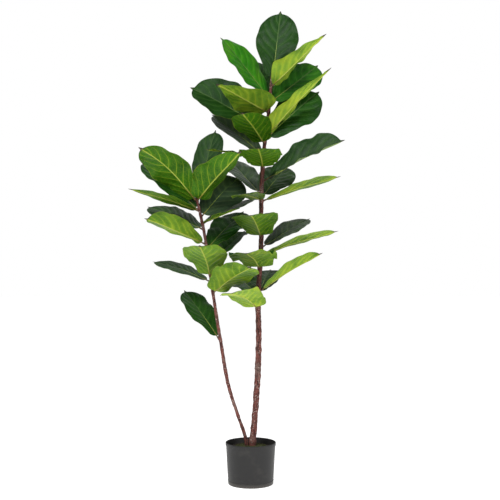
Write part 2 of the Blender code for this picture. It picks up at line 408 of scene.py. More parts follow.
@dataclass(frozen=True)
class RibFinish:
    """The stalk and the midrib under the blade: red-brown at the stem, yellow-green along the blade."""

    name: str = "leaf_rib"
    stalk: Colour = (0.075, 0.022, 0.013)
    foot: Colour = (0.24, 0.20, 0.025)
    rib: Colour = (0.42, 0.50, 0.075)
    end: Colour = (0.060, 0.045, 0.030)

    def material(self) -> bpy.types.Material:
        """Makes the material."""
        page = Page(self.name)
        along = page.parts(page.stored(ALONG))[0]
        point = page.place()
        grain = page.cloud(point, 260.0, 3.0)
        flecks = page.cloud(point, 900.0, 2.0)
        colour = page.mix(self.stalk, self.foot, (along + (grain - 0.5) * 0.12).ease(-0.05, 0.04))
        colour = page.mix(colour, self.rib, along.ease(0.02, 0.22))
        colour = page.mix(colour, self.end, along.ease(0.93, 0.99))
        colour = page.mix(colour, page.mix(colour, (0.6, 0.55, 0.5), 1.0, "MULTIPLY"), flecks.ease(0.45, 0.75))
        return page.finish({"Base Color": colour, "Roughness": 0.42 + grain * 0.2}, grain + flecks * 0.5, 0.0004)


@dataclass(frozen=True)
class BarkFinish:
    """Red-brown bark with dark cracks and pale flecks."""

    name: str = "bark"
    base: Colour = (0.190, 0.060, 0.048)
    pale: Colour = (0.55, 0.43, 0.38)
    dark: Colour = (0.020, 0.008, 0.007)
    grey: Colour = (0.200, 0.125, 0.105)

    def material(self) -> bpy.types.Material:
        """Makes the material."""
        page = Page(self.name)
        long_way = page.place((1.0, 1.0, 0.28))
        plain = page.place()
        streaks = page.cloud(long_way, 150.0, 5.0, 0.72)
        cracks = page.cells(long_way, 210.0).ease(0.10, 0.01) * page.cloud(plain, 60.0, 2.0).ease(0.42, 0.62)
        flecks = page.cells(page.place((1.0, 1.0, 1.5)), 150.0, "F1").ease(0.40, 0.22)
        flecks = flecks * page.cloud(plain, 70.0, 2.0).ease(0.50, 0.58)
        weather = page.cloud(plain, 22.0, 3.0)
        colour = page.mix(self.dark, self.base, streaks.ease(0.34, 0.56))
        colour = page.mix(colour, self.grey, weather.ease(0.48, 0.66) * 0.7)
        colour = page.mix(colour, self.dark, cracks * 0.8)
        colour = page.mix(colour, self.pale, flecks * 0.85)
        height = streaks * 0.8 + flecks * 0.35 - cracks * 0.8
        values = {"Base Color": colour, "Roughness": 0.62 + streaks * 0.25, "Specular IOR Level": 0.3}
        return page.finish(values, height, 0.0022)


@dataclass(frozen=True)
class PotFinish:
    """Satin charcoal plastic with fine grain, faint flow marks and a little dust."""

    name: str = "pot_plastic"
    base: Colour = (0.0185, 0.0180, 0.0180)
    dust: Colour = (0.16, 0.145, 0.125)

    def material(self) -> bpy.types.Material:
        """Makes the material."""
        page = Page(self.name)
        plain = page.place()
        grain = page.cloud(plain, 900.0, 2.0)
        flow = page.cloud(page.place((1.0, 1.0, 0.12)), 38.0, 4.0)
        patches = page.cloud(plain, 16.0, 4.0)
        up = page.parts(plain)[2]
        scuffs = page.cloud(page.place((0.35, 0.35, 3.0)), 240.0, 3.0, 0.7).ease(0.66, 0.74)
        colour = page.mix(self.base, page.mix(self.base, (1.3, 1.3, 1.3), 1.0, "MULTIPLY"), flow)
        dusty = up.ease(0.02, 0.0) * 0.35 + patches.ease(0.55, 0.75) * 0.10 + scuffs * 0.10
        colour = page.mix(colour, self.dust, dusty)
        rough = 0.40 + patches * 0.16 + scuffs * 0.12
        values = {"Base Color": colour, "Roughness": rough, "Specular IOR Level": 0.3}
        return page.finish(values, grain * 0.7 + flow * 0.3, 0.00035)


@dataclass(frozen=True)
class SoilFinish:
    """Dark crumbly potting mix with paler bark bits."""

    name: str = "potting_soil"
    dark: Colour = (0.010, 0.007, 0.005)
    mid: Colour = (0.045, 0.030, 0.020)
    chip: Colour = (0.135, 0.085, 0.050)

    def material(self) -> bpy.types.Material:
        """Makes the material."""
        page = Page(self.name)
        point = page.place()
        lumps = page.cloud(point, 260.0, 5.0, 0.7)
        chips = page.cells(point, 190.0, "F1").ease(0.34, 0.22) * page.cloud(point, 75.0, 2.0).ease(0.52, 0.62)
        colour = page.mix(self.dark, self.mid, lumps.ease(0.32, 0.68))
        colour = page.mix(colour, self.chip, chips * 0.8)
        return page.finish({"Base Color": colour, "Roughness": 0.9 - chips * 0.15}, lumps + chips * 0.3, 0.0022)


@dataclass(frozen=True)
class MossFinish:
    """Olive moss, darker between its tufts."""

    name: str = "moss_cover"
    dark: Colour = (0.022, 0.026, 0.008)
    mid: Colour = (0.075, 0.085, 0.020)
    tips: Colour = (0.19, 0.19, 0.055)

    def material(self) -> bpy.types.Material:
        """Makes the material."""
        page = Page(self.name)
        point = page.place()
        tufts = page.cloud(point, 320.0, 4.0, 0.65)
        patches = page.cloud(point, 60.0, 3.0)
        colour = page.mix(self.dark, self.mid, tufts.ease(0.32, 0.6))
        colour = page.mix(colour, self.tips, tufts.ease(0.55, 0.78) * patches.ease(0.35, 0.65))
        return page.finish({"Base Color": colour, "Roughness": 0.8 + tufts * 0.15}, tufts, 0.0018)


@dataclass(frozen=True)
class FloorFinish:
    """A plain pale studio floor."""

    name: str = "studio_floor"
    base: Colour = (0.84, 0.84, 0.838)
    glow: float = 0.74

    def material(self) -> bpy.types.Material:
        """Makes the material."""
        page = Page(self.name)
        wash = page.cloud(page.place(), 0.8, 2.0)
        colour = page.mix(self.base, (0.88, 0.88, 0.878), wash)
        values = {"Base Color": colour, "Roughness": 0.9, "Specular IOR Level": 0.0}
        values |= {"Emission Color": (1.0, 1.0, 1.0), "Emission Strength": self.glow}
        return page.finish(values)


# ---------------------------------------------------------------------------------------------------------
# Mesh tools
# ---------------------------------------------------------------------------------------------------------


@dataclass
class Skin:
    """Points, faces and stored values gathered for one mesh."""

    points: list[np.ndarray] = field(default_factory=list)
    faces: list[list[int]] = field(default_factory=list)
    slots: list[int] = field(default_factory=list)
    stored: dict[str, list[np.ndarray]] = field(default_factory=dict)
    total: int = 0

    def add_points(self, points: np.ndarray, **stored: np.ndarray) -> int:
        """Adds points with their stored vectors.

        Args:
            points: An array of rows of three numbers.
            stored: One array of the same shape for each stored name.

        Returns:
            The index of the first point added.
        """
        first = self.total
        flat = points.reshape(-1, 3)
        self.points.append(flat)
        for name in {*self.stored, *stored}:
            blocks = self.stored.setdefault(name, [np.zeros((first, 3))])
            blocks.append(stored[name].reshape(-1, 3) if name in stored else np.zeros_like(flat))
        self.total += len(flat)
        return first

    def add_sheet(self, grid: np.ndarray, slot: int = 0, wrap: bool = False, turned: bool = False,
                  **stored: np.ndarray) -> int:
        """Adds a grid of points joined by four-sided faces.

        Args:
            grid: Rows of columns of points.
            slot: The material slot of its faces.
            wrap: Whether each row closes on itself.
            turned: Whether the faces look the other way.
            stored: Stored vectors in the shape of the grid.

        Returns:
            The index of the first point added.
        """
        rows, columns = grid.shape[:2]
        first = self.add_points(grid, **stored)
        index = first + np.arange(rows * columns).reshape(rows, columns)
        after = np.roll(index, -1, axis=1)
        if not wrap:
            index, after = index[:, :-1], after[:, :-1]
        quads = np.stack([index[:-1], after[:-1], after[1:], index[1:]], axis=-1).reshape(-1, 4)
        self.add_faces(quads[:, ::-1] if turned else quads, slot)
        return first

    def add_faces(self, faces: np.ndarray | list[list[int]], slot: int) -> None:
        """Adds faces by their points' indices.

        Args:
            faces: Rows of indices.
            slot: Their material slot.
        """
        found = faces.tolist() if isinstance(faces, np.ndarray) else faces
        self.faces.extend(found)
        self.slots.extend([slot] * len(found))

    def add_tube(self, rings: np.ndarray, slot: int = 0, **stored: np.ndarray) -> None:
        """Adds a closed tube through rings of points, which run anticlockwise seen from its far end.

        Args:
            rings: Rings of points, from one end to the other.
            slot: The material slot of its faces.
            stored: Stored vectors in the shape of the rings.
        """
        count, sides = rings.shape[:2]
        first = self.add_sheet(rings, slot, wrap=True, **stored)
        last = first + (count - 1) * sides
        caps = [list(range(first + sides - 1, first - 1, -1)), list(range(last, last + sides))]
        self.add_faces(caps, slot)

    def mesh(self, name: str, sharp: float | None = None) -> bpy.types.Mesh:
        """Makes the mesh, shaded smooth.

        Args:
            name: Its name.
            sharp: The angle in degrees above which an edge stays sharp, if any.

        Returns:
            The mesh.
        """
        made = bpy.data.meshes.new(name)
        made.from_pydata(np.concatenate(self.points).tolist(), [], self.faces)
        made.polygons.foreach_set("material_index", np.array(self.slots, np.int32))
        for label, blocks in self.stored.items():
            values = np.concatenate(blocks).astype(np.float32)
            made.attributes.new(label, "FLOAT_VECTOR", "POINT").data.foreach_set("vector", values.ravel())
        made.shade_smooth()
        if sharp is not None:
            made.set_sharp_from_angle(angle=radians(sharp))
        made.validate()
        return made


def place_piece(name: str, mesh: bpy.types.Mesh, node: str) -> bpy.types.Object:
    """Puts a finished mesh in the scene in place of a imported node.

    Args:
        name: The piece's name.
        mesh: Its mesh, in world coordinates.
        node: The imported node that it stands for.

    Returns:
        The piece.
    """
    piece = bpy.data.objects.new(name, mesh)
    bpy.context.scene.collection.objects.link(piece)
    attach(piece, BODY)
    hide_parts(node)
    return piece


def turn(profile: list[tuple[float, float]], steps: int) -> np.ndarray:
    """Rings of points from an outline turned round the Z axis.

    Args:
        profile: (radius, height) pairs.
        steps: The number of points in a ring.

    Returns:
        An array of rings of points.
    """
    angles = np.arange(steps) * tau / steps
    outline = np.array(profile)
    x = outline[:, :1] * np.cos(angles)
    y = outline[:, :1] * np.sin(angles)
    z = np.broadcast_to(outline[:, 1:], x.shape)
    return np.stack([x, y, z], axis=-1)


# ---------------------------------------------------------------------------------------------------------
# Stems
# ---------------------------------------------------------------------------------------------------------


def catmull_rom(before: float, start: float, end: float, after: float, t: float) -> float:
    """The value at t, from 0 at start to 1 at end, on the cubic through the four values."""
    slope = end - before
    bow = 2 * before - 5 * start + 4 * end - after
    swing = 3 * start - before - 3 * end + after
    return 0.5 * (2 * start + slope * t + bow * t**2 + swing * t**3)


@dataclass
class Stem:
    """A woody stem: a tapering tube with bark, swollen leaf joints and a bud at its end."""

    node: str
    path: tuple[tuple[float, float, float, float], ...]
    joints: list[float] = field(default_factory=list)
    sides: int = 28
    ring_step: float = 0.0035
    scar_seed: int = 5
    coarse_samples: int = 3
    fine_samples: int = 16

    def add_scars(self) -> None:
        """Adds the swellings of old leaf scars along the bare part, below the lowest leaf."""
        draw = np.random.default_rng(self.scar_seed)
        height, lowest = self.path[1][2] + 0.02, min(self.joints)
        while height < lowest - 0.01:
            self.joints.append(height)
            height += draw.uniform(0.018, 0.050)

    def points(self, samples: int) -> np.ndarray:
        """The centre line as rows of x, y, z and radius.

        Args:
            samples: The number of points between two given ones.

        Returns:
            The rows.
        """
        found = []
        last = len(self.path) - 1
        for i in range(last):
            four = (self.path[max(i - 1, 0)], self.path[i], self.path[i + 1], self.path[min(i + 2, last)])
            values = list(zip(*four))
            for step in range(samples):
                found.append([catmull_rom(*around, step / samples) for around in values])
        found.append(list(self.path[last]))
        return np.array(found)

    def at(self, height: float) -> np.ndarray:
        """x, y and radius of the centre line at a height."""
        line = self.points(self.coarse_samples)
        return np.array([np.interp(height, line[:, 2], line[:, i]) for i in (0, 1, 3)])

    def swell(self, height: float) -> float:
        """How much thicker the stem is at a height because of its leaf joints and old scars."""
        swollen = sum(0.13 * np.exp(-(((height - joint) / 0.006) ** 2)) for joint in self.joints)
        return 1.0 + min(float(swollen), 0.25)

    def rings(self) -> np.ndarray:
        """The bark surface as rings of points."""
        line = self.points(self.fine_samples)
        heights = np.arange(line[0, 2], line[-1, 2], self.ring_step)
        heights = np.append(heights, line[-1, 2])
        rows = np.stack([np.interp(heights, line[:, 2], line[:, i]) for i in range(4)], axis=1)
        angles = np.arange(self.sides) * tau / self.sides
        rings = []
        for x, y, z, radius in rows:
            ring = []
            for angle in angles:
                out = Vector((cos(angle), sin(angle), 0.0))
                spot = Vector((x, y, z)) + out * radius
                lumps = noise.noise(Vector((spot.x * 55, spot.y * 55, z * 42)))
                ridges = noise.noise(Vector((spot.x * 380, spot.y * 380, z * 90)))
                grain = noise.noise(Vector((spot.x * 900, spot.y * 900, z * 420)))
                bark = 1.0 + 0.15 * lumps + 0.11 * ridges + 0.05 * grain
                reach = radius * bark * self.swell(z + 0.002 * out.x)
                ring.append((x + out.x * reach, y + out.y * reach, z))
            rings.append(ring)
        return np.array(rings)

    def build(self) -> bpy.types.Object:
        """Builds the stem and dresses it with bark."""
        skin = Skin()
        skin.add_tube(self.rings())
        mesh = skin.mesh(self.node + "_wood")
        mesh.materials.append(BarkFinish().material())
        return place_piece(self.node + "_wood", mesh, self.node)


# ---------------------------------------------------------------------------------------------------------
# Leaves
# ---------------------------------------------------------------------------------------------------------


@dataclass(frozen=True)
class Leaf:
    """One leaf with its stalk. Lengths are in metres and angles in degrees.

    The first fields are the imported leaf's own: height is where the stalk leaves the stem, heading is the way
    that it points (0 is +X, 90 is +Y), rise its climb, droop how far it arches over, roll how it turns about
    its own length, fold how far each half lifts from the midrib, and widest where the blade is widest.
    """

    stem: str
    height: float
    heading: float
    rise: float
    stalk: float
    length: float
    width: float
    droop: float
    roll: float
    fold: float
    widest: float = 0.60
    sweep: float = 0.0
    twist: float = 0.0
    curl: float = 0.0
    cup: float = -14.0
    close: float = 0.0
    wave: float = 0.07
    foot: float = 0.36
    end: float = 2.1
    taper: float = 0.5
    quilt: float = 0.0017
    # How bright green the upper face is: mostly the leaf's own tone, and on the brightest leaf painted light for its
    # glossy, lit look.
    upper_tone_and_light: float = 0.15
    yellow: float = 0.10
    # Share of painted sheen: a grey wash standing for the soft whitish sheen of a glossy leaf.
    grey: float = 0.0


@dataclass(frozen=True)
class Grid:
    """How finely a leaf is made."""

    rows: int = 96
    columns: int = 40
    spine: int = 260
    rib_rings: int = 64
    rib_sides: int = 10


@dataclass
class LeafMaker:
    """Builds one leaf's mesh from its plan."""

    plan: Leaf
    seed: int
    grid: Grid = Grid()
    blade_thickness: float = 0.0009
    margin_thickness: float = 0.0005
    stalk_radius: float = 0.0022
    swollen_radius: float = 0.0031
    rib_end_radius: float = 0.0006
    tip_length_share: float = 0.05
    root_depth: float = 0.006
    bare_share: float = 0.45

    def __post_init__(self) -> None:
        """Draws this leaf's own small differences."""
        draw = np.random.default_rng(self.seed)
        self.phases = draw.uniform(0.0, tau, 8)
        self.waves = draw.uniform(1.6, 2.9, 2)
        self.sweep = self.plan.sweep + draw.uniform(-5.0, 5.0)
        self.twist = self.plan.twist + draw.uniform(-5.0, 5.0)
        self.uneven = draw.uniform(-0.05, 0.05)
        self.bare = self.bare_share * self.plan.stalk
        self.blade_length = self.plan.stalk + self.plan.length - self.bare

    def spine(self, distances: np.ndarray) -> tuple[np.ndarray, np.ndarray, np.ndarray]:
        """The centre line with its own axes.

        Args:
            distances: Distances from the stem along the leaf. They may start below 0.

        Returns:
            The points, the left-hand directions and the upward directions.
        """
        total = self.plan.stalk + self.plan.length
        fine = np.linspace(-self.root_depth, total, self.grid.spine)
        t = np.clip((fine - self.bare) / self.blade_length, 0.0, 1.0)
        bow = 0.5 - np.clip(fine, 0.0, total) / total
        pitch = radians(max(self.plan.droop, 1.0)) * bow + radians(self.plan.curl) * ease(t, 0.72, 1.05) ** 1.3
        yaw = -radians(self.sweep) * bow
        along = np.stack([np.cos(pitch) * np.cos(yaw), np.cos(pitch) * np.sin(yaw), np.sin(pitch)], axis=1)
        step = fine[1] - fine[0]
        line = np.concatenate([np.zeros((1, 3)), np.cumsum((along[:-1] + along[1:]) / 2 * step, axis=0)])
        line -= [np.interp(0.0, fine, line[:, i]) for i in range(3)]
        left = np.stack([-np.sin(yaw), np.cos(yaw), np.zeros_like(yaw)], axis=1)
        up = np.cross(along, left)
        spin = radians(self.twist) * (t - 0.4)
        left, up = (
            left * np.cos(spin)[:, None] + up * np.sin(spin)[:, None],
            up * np.cos(spin)[:, None] - left * np.sin(spin)[:, None],
        )
        read = [np.stack([np.interp(distances, fine, found[:, i]) for i in range(3)], axis=-1)
                for found in (line, left, up)]
        return read[0], read[1], read[2]

    def half_width(self, t: np.ndarray) -> np.ndarray:
        """Half the blade's width along it: a round foot, the widest place, and a round end with a small tip.

        Args:
            t: Place along the blade, 0 at its foot and 1 at its tip.

        Returns:
            The half widths in metres.
        """
        plan = self.plan
        body = t / (1.0 - self.tip_length_share)
        lower = plan.foot + (1 - plan.foot) * np.sin(pi / 2 * np.clip(body / plan.widest, 0, 1)) ** 1.5
        past = np.clip((body - plan.widest) / (1 - plan.widest), 0.0, 1.0)
        upper = np.clip(1.0 - past**plan.end, 0.0, 1.0) ** plan.taper
        share = np.where(body < plan.widest, lower, upper)
        corner = 1.0 - np.clip(t / 0.07, 0.0, 1.0)
        share = share * np.sqrt(np.clip(1.0 - corner**2, 0.0, 1.0))
        tip = 0.14 * np.clip((1.0 - t) / 0.09, 0.0, 1.0) ** 0.9 * ease(t, 0.80, 0.93)
        wobble = 1.0 + 0.022 * np.sin(9.0 * t + self.phases[0]) * ease(t, 0.1, 0.3)
        return plan.width / 2 * (share**4 + tip**4) ** 0.25 * wobble + 0.0004

    def surface(self, t: np.ndarray, s: np.ndarray) -> tuple[np.ndarray, np.ndarray]:
        """The middle surface of the blade.

        Args:
            t: Places along the blade, one for each row.
            s: Places across it, from -1 at the right margin to 1 at the left.

        Returns:
            Rows of columns of points, and the blade's half width at each row.
        """
        plan = self.plan
        line, left, up = self.spine(self.bare + t * self.blade_length)
        half = self.half_width(t)
        tt, ss = np.meshgrid(t, s, indexing="ij")
        out = np.abs(ss)
        start = ease(tt, 0.0, 0.14)
        fold = radians(plan.fold) * start * (1.0 + plan.close * (tt - 0.5)) * (1.0 + self.uneven * np.sign(ss))
        slope = fold * (1.0 - np.exp(-out / 0.05)) + radians(plan.cup) * out**1.4 * start
        widths = np.diff(s)
        middle = (slope[:, 1:] + slope[:, :-1]) / 2
        half_columns = len(s) // 2
        across = self.gather(np.cos(middle) * widths, half_columns) * half[:, None]
        lift = self.gather(np.sin(middle) * np.sign(s[1:] + s[:-1]) * widths, half_columns) * half[:, None]
        lift = lift + self.relief(tt, ss, half[:, None])
        points = line[:, None] + across[..., None] * left[:, None] + lift[..., None] * up[:, None]
        return points, half

    @staticmethod
    def gather(steps: np.ndarray, middle: int) -> np.ndarray:
        """Adds steps up outwards from the middle column.

        Args:
            steps: The step from each column to the next.
            middle: The index of the column where the sum is 0.

        Returns:
            The sums, one more column than steps.
        """
        total = np.concatenate([np.zeros((len(steps), 1)), np.cumsum(steps, axis=1)], axis=1)
        return total - total[:, middle : middle + 1]

    def relief(self, t: np.ndarray, s: np.ndarray, half: np.ndarray) -> np.ndarray:
        """How far the surface stands off the plain fold: margin waves, puffed fields between veins, sunk veins.

        Args:
            t: Place along the blade at each point.
            s: Place across it at each point.
            half: Half width of each row.

        Returns:
            Heights in metres.
        """
        plan = self.plan
        out = np.abs(s)
        ends = ease(t, 0.0, 0.14) * ease(t, 1.0, 0.88)
        side = np.where(s > 0, 0, 1)
        turns = self.waves[side] * t + 0.12 * out
        ripple = np.sin(tau * turns + self.phases[1 + side])
        ripple = ripple + 0.45 * np.sin(tau * 2.3 * turns + self.phases[3 + side])
        margin = plan.wave * half * out**2.2 * ripple * ends
        bend = 0.035 * half * np.sin(5.0 * t + self.phases[5]) * (1 - out)
        count = VEINS.count(t, s)
        field_share = np.abs(np.sin(pi * count)) ** 0.75
        spread = ease(out, 0.02, 0.28) * (1.0 - 0.75 * ease(out, 0.72, 1.0)) * ends
        puff = plan.quilt * (field_share - 0.6) * spread
        groove = -0.0011 * np.exp(-((out * half / 0.0035) ** 2)) * ease(t, 0.02, 0.1) * ease(t, 1.0, 0.9)
        return margin + bend + puff + groove

    def blade(self, skin: Skin) -> None:
        """Adds the blade as a closed sheet: its upper face, its under face and its rim."""
        even = np.linspace(0.0, 1.0, self.grid.rows + 1)
        t = 0.45 * even + 0.55 * (0.5 - 0.5 * np.cos(pi * even))
        s = np.linspace(-1.0, 1.0, self.grid.columns + 1)
        s = np.sign(s) * np.abs(s) ** 0.92
        points, half = self.surface(t, s)
        normal = np.cross(np.gradient(points, axis=0), np.gradient(points, axis=1))
        normal /= np.maximum(np.linalg.norm(normal, axis=2, keepdims=True), 1e-12)
        thick = self.margin_thickness + (self.blade_thickness - self.margin_thickness) * (1 - s**2)
        offset = normal * thick[None, :, None] / 2
        place = np.stack(np.broadcast_arrays(t[:, None], s[None, :], half[:, None]), axis=-1)
        # Stored tone: the upper face's brightness, the under face's yellowness, and the share of painted sheen.
        tone = np.broadcast_to([self.plan.upper_tone_and_light, self.plan.yellow, self.plan.grey], place.shape)
        stored = {PLACE: place, TONE_AND_SHEEN: tone}
        top = skin.add_sheet(points + offset, 0, turned=True, **stored)
        under = skin.add_sheet(points - offset, 1, **stored)
        rows, columns = points.shape[:2]
        index = np.arange(rows * columns).reshape(rows, columns)
        loop = np.concatenate([index[0, :-1], index[:-1, -1], index[-1, :0:-1], index[:0:-1, 0]])
        after = np.roll(loop, -1)
        rim = np.stack([top + loop, top + after, under + after, under + loop], axis=1)
        skin.add_faces(rim[:, ::-1], 1)

    def rib(self, skin: Skin) -> None:
        """Adds the stalk and the midrib, a tapering tube that lies under the blade."""
        plan = self.plan
        total = plan.stalk + plan.length
        distance = np.linspace(-self.root_depth, total - 0.004, self.grid.rib_rings)
        line, left, up = self.spine(distance)
        t = (distance - self.bare) / self.blade_length
        on_blade = ease(t, -0.02, 0.10)
        radius = self.stalk_radius + (self.rib_end_radius - self.stalk_radius) * np.clip(t, 0, 1) ** 0.7
        swollen = np.exp(-((np.clip(distance, 0, None) / 0.007) ** 2))
        radius = radius + (self.swollen_radius - self.stalk_radius) * swollen
        groove = self.relief(np.clip(t, 0, 1), np.zeros_like(t), self.half_width(np.clip(t, 0, 1)))
        middle = line + up * ((groove - 0.55 * radius) * on_blade)[:, None]
        angles = np.arange(self.grid.rib_sides) * tau / self.grid.rib_sides
        turned = np.cos(angles)[None, :, None] * left[:, None] + np.sin(angles)[None, :, None] * up[:, None]
        rings = middle[:, None] + turned * radius[:, None, None]
        along = np.zeros(rings.shape)
        along[..., 0] = t[:, None]
        skin.add_tube(rings, 2, **{ALONG: along})

    def build(self, stem: Stem) -> Skin:
        """Builds the leaf where it grows.

        Args:
            stem: The stem that carries it.

        Returns:
            The leaf's points and faces in world coordinates.
        """
        skin = Skin()
        self.blade(skin)
        self.rib(skin)
        plan = self.plan
        x, y, radius = stem.at(plan.height)
        heading, rise = radians(plan.heading), radians(plan.rise + plan.droop / 2)
        reach = radius + 0.0022 * abs(sin(rise)) + 0.0012
        origin = Vector((x + reach * cos(heading), y + reach * sin(heading), plan.height))
        turned = Euler((radians(plan.roll), -radians(plan.rise), heading)).to_matrix()
        matrix = np.array(turned)
        skin.points = [block @ matrix.T + np.array(origin) for block in skin.points]
        return skin


@dataclass
class Foliage:
    """Every leaf of the plant, one piece each."""

    leaves: tuple[Leaf, ...]
    stems: dict[str, Stem]
    upper: BladeFinish
    under: BladeFinish
    rib: RibFinish = RibFinish()

    def build(self) -> list[bpy.types.Object]:
        """Builds and dresses the leaves, from the top of each stem down.

        Returns:
            The pieces.
        """
        finishes = [self.upper.material(), self.under.material(), self.rib.material()]
        counts = dict.fromkeys(self.stems, 0)
        pieces = []
        for seed, leaf in enumerate(self.leaves):
            counts[leaf.stem] += 1
            label = f"{leaf.stem}_{counts[leaf.stem]:02d}"
            mesh = LeafMaker(leaf, seed).build(self.stems[leaf.stem]).mesh("foliage_" + label)
            for finish in finishes:
                mesh.materials.append(finish)
            pieces.append(place_piece("foliage_" + label, mesh, "leaf_" + label))
        return pieces


# ---------------------------------------------------------------------------------------------------------
# Pot, soil and moss
# ---------------------------------------------------------------------------------------------------------


@dataclass
class Pot:
    """The plain round pot with its rim band and the bead above its foot."""

    height: float = 0.145
    top_radius: float = 0.0875
    base_radius: float = 0.0785
    wall: float = 0.0018
    floor: float = 0.0025
    band: float = 0.011
    band_step: float = 0.0012
    bead_height: float = 0.014
    steps: int = 160

    def wall_radius(self, height: float) -> float:
        """The outer radius below the rim band."""
        return self.base_radius + (self.top_radius - self.band_step - self.base_radius) * height / self.height

    def profile(self) -> list[tuple[float, float]]:
        """The outline from the middle of the inner floor, over the rim and down to the underside."""
        foot = self.height - self.band
        inner_top = self.top_radius - self.band_step - self.wall
        found = [(0.0, self.floor), (self.wall_radius(self.floor) - self.wall, self.floor)]
        found += [(inner_top - 0.0004, self.height - 0.004)]
        lip = (self.top_radius - inner_top) / 2
        middle = (self.top_radius + inner_top) / 2
        for step in range(9):
            angle = pi - pi * step / 8
            found.append((middle + lip * cos(angle), self.height - lip + lip * sin(angle)))
        found += [(self.top_radius, foot + 0.001), (self.top_radius - 0.0003, foot + 0.0002)]
        found += [(self.wall_radius(foot) + 0.0002, foot - 0.0002), (self.wall_radius(foot), foot - 0.001)]
        for share in (0.75, 0.5, 0.25):
            level = self.bead_height + 0.002 + (foot - self.bead_height) * share
            found.append((self.wall_radius(level), level))
        for step in range(7):
            angle = pi / 2 - pi * step / 6
            out = self.wall_radius(self.bead_height) - 0.0002 + 0.001 * cos(angle)
            found.append((out, self.bead_height + 0.0011 * sin(angle)))
        found += [(self.base_radius, 0.0042)]
        for step in range(5):
            angle = pi / 2 * step / 4
            found.append((self.base_radius - 0.003 + 0.003 * cos(angle), 0.003 - 0.003 * sin(angle)))
        found += [(self.base_radius - 0.006, 0.0), (self.base_radius - 0.008, 0.0015), (0.0, 0.0015)]
        return found

    def build(self) -> bpy.types.Object:
        """Builds the pot and dresses it."""
        rings = turn(self.profile(), self.steps)
        skin = Skin()
        skin.add_sheet(rings, wrap=True, turned=True)
        mesh = skin.mesh("pot_shell", 38.0)
        mesh.materials.append(PotFinish().material())
        return place_piece("pot_shell", mesh, "pot")


